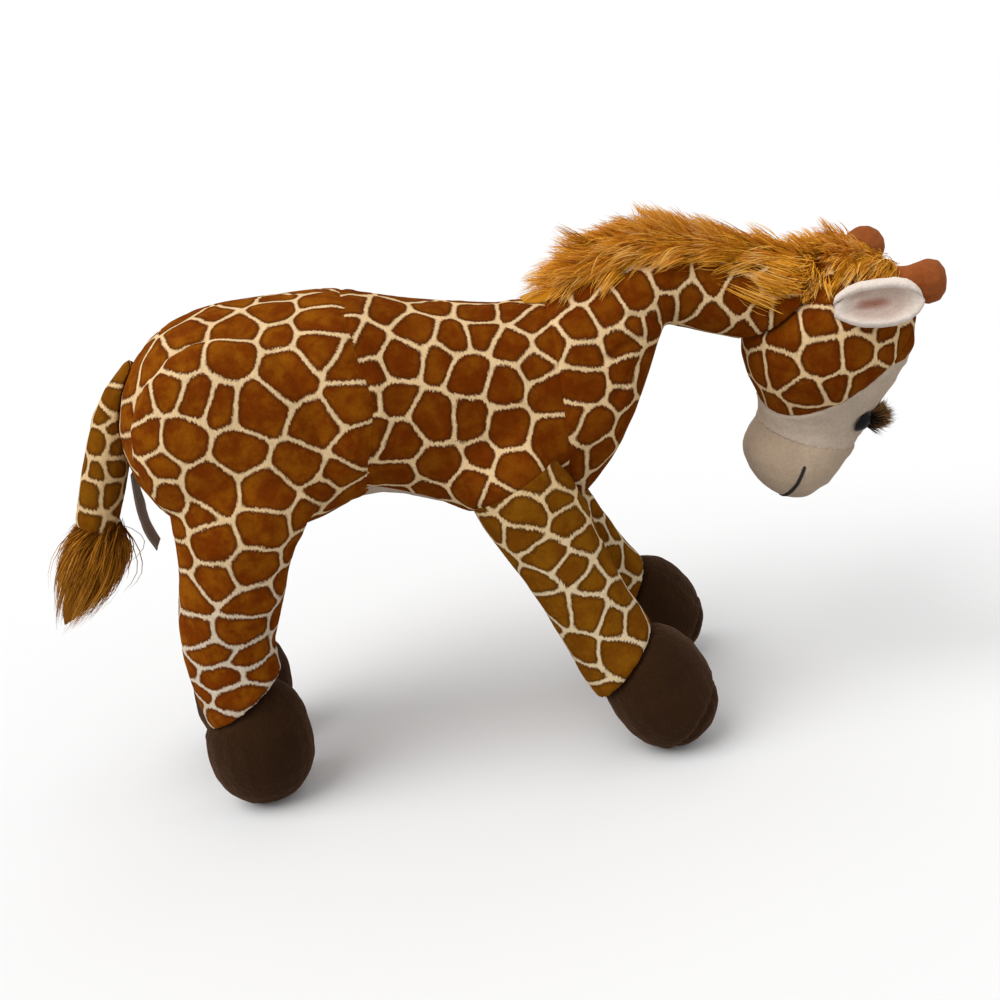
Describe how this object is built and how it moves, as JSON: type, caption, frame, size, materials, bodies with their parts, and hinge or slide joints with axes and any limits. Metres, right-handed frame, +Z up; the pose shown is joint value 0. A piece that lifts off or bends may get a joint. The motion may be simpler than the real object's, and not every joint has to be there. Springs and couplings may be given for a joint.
{
  "type": "plush giraffe",
  "caption": "Stuffed plush giraffe standing on all fours with its neck folded forward and head hanging, with a fur mane, stuffed horns, swinging ears, legs and tail.",
  "frame": {"origin": "on the floor, under the middle of the toy's bounding box", "axes": "+X towards the head, +Y to the giraffe's left, +Z up"},
  "size_m": [0.682, 0.2122, 0.4006],
  "materials": {
    "spotted_plush": "short plush printed with rust-brown cells and cream lines",
    "cream_plush": "short cream plush",
    "hoof_plush": "dark brown velvety plush",
    "long_fur": "long golden-brown fur",
    "horn_plush": "short orange-brown plush",
    "lid_fur": "brown fur",
    "black_thread": "black embroidery thread",
    "nostril_thread": "dull brown embroidery thread",
    "lash_fibre": "dark lash fibre",
    "eye_plastic": "polished black plastic",
    "washer_plastic": "natural moulded plastic",
    "label_ribbon": "woven ribbon, blank"
  },
  "bodies": {
    "torso": {"torso": "spotted_plush", "chest": "spotted_plush", "belly_panel": "cream_plush", "care_label": "label_ribbon"},
    "neck": {"neck": "spotted_plush", "mane": "long_fur"},
    "head": {"head": "spotted_plush", "face": "cream_plush", "muzzle": "cream_plush", "mouth_stitch": "black_thread", "nostril_right": "nostril_thread", "nostril_left": "nostril_thread", "eye_right": "eye_plastic", "eye_left": "eye_plastic", "eye_washer_right": "washer_plastic", "eye_washer_left": "washer_plastic", "eyelid_right": "lid_fur", "eyelid_left": "lid_fur", "eyelashes_right": "lash_fibre", "eyelashes_left": "lash_fibre", "ossicone_right": "horn_plush", "ossicone_left": "horn_plush", "forelock": "long_fur"},
    "ear_right": {"ear_right": "spotted_plush", "ear_lining_right": "cream_plush"},
    "ear_left": {"ear_left": "spotted_plush", "ear_lining_left": "cream_plush"},
    "tail": {"tail": "spotted_plush", "tail_tuft": "long_fur"},
    "leg_front_right": {"leg_front_right": "spotted_plush", "hoof_front_right": "hoof_plush", "sole_front_right": "hoof_plush"},
    "leg_front_left": {"leg_front_left": "spotted_plush", "hoof_front_left": "hoof_plush", "sole_front_left": "hoof_plush"},
    "leg_rear_right": {"leg_rear_right": "spotted_plush", "hoof_rear_right": "hoof_plush", "sole_rear_right": "hoof_plush"},
    "leg_rear_left": {"leg_rear_left": "spotted_plush", "hoof_rear_left": "hoof_plush", "sole_rear_left": "hoof_plush"}
  },
  "joints": [
    {"name": "neck_bend", "type": "hinge", "parent": "torso", "child": "neck", "pos_m": [0.13901, -0.00807, 0.37168], "axis": [0, -1, 0], "range_deg": [0, 70], "deforming": ["mane"]},
    {"name": "head_nod", "type": "hinge", "parent": "neck", "child": "head", "pos_m": [0.25392, -0.02269, 0.34646], "axis": [0.2034, -0.9568, -0.2079], "range_deg": [0, 35]},
    {"name": "ear_right_swing", "type": "hinge", "parent": "head", "child": "ear_right", "pos_m": [0.25156, -0.06867, 0.31738], "axis": [0.2668, 0.5501, -0.7913], "range_deg": [-5, 35], "stiffness_Nm_per_rad": 0.06},
    {"name": "ear_left_swing", "type": "hinge", "parent": "head", "child": "ear_left", "pos_m": [0.2314, 0.02617, 0.33799], "axis": [-0.035, 0.4503, 0.8922], "range_deg": [-5, 35], "stiffness_Nm_per_rad": 0.06},
    {"name": "tail_lift", "type": "hinge", "parent": "torso", "child": "tail", "pos_m": [-0.24187, -0.00807, 0.3378], "axis": [0, 1, 0], "range_deg": [0, 60]},
    {"name": "leg_front_right_swing", "type": "hinge", "parent": "torso", "child": "leg_front_right", "pos_m": [0.00501, -0.05107, 0.24], "axis": [0, -1, 0], "range_deg": [-18, 18], "stiffness_Nm_per_rad": 4},
    {"name": "leg_front_left_swing", "type": "hinge", "parent": "torso", "child": "leg_front_left", "pos_m": [0.00501, 0.03493, 0.24], "axis": [0, -1, 0], "range_deg": [-18, 18], "stiffness_Nm_per_rad": 4},
    {"name": "leg_rear_right_swing", "type": "hinge", "parent": "torso", "child": "leg_rear_right", "pos_m": [-0.17499, -0.05807, 0.285], "axis": [0, -1, 0], "range_deg": [-20, 20], "stiffness_Nm_per_rad": 4},
    {"name": "leg_rear_left_swing", "type": "hinge", "parent": "torso", "child": "leg_rear_left", "pos_m": [-0.17499, 0.04193, 0.285], "axis": [0, -1, 0], "range_deg": [-20, 20], "stiffness_Nm_per_rad": 4}
  ]
}
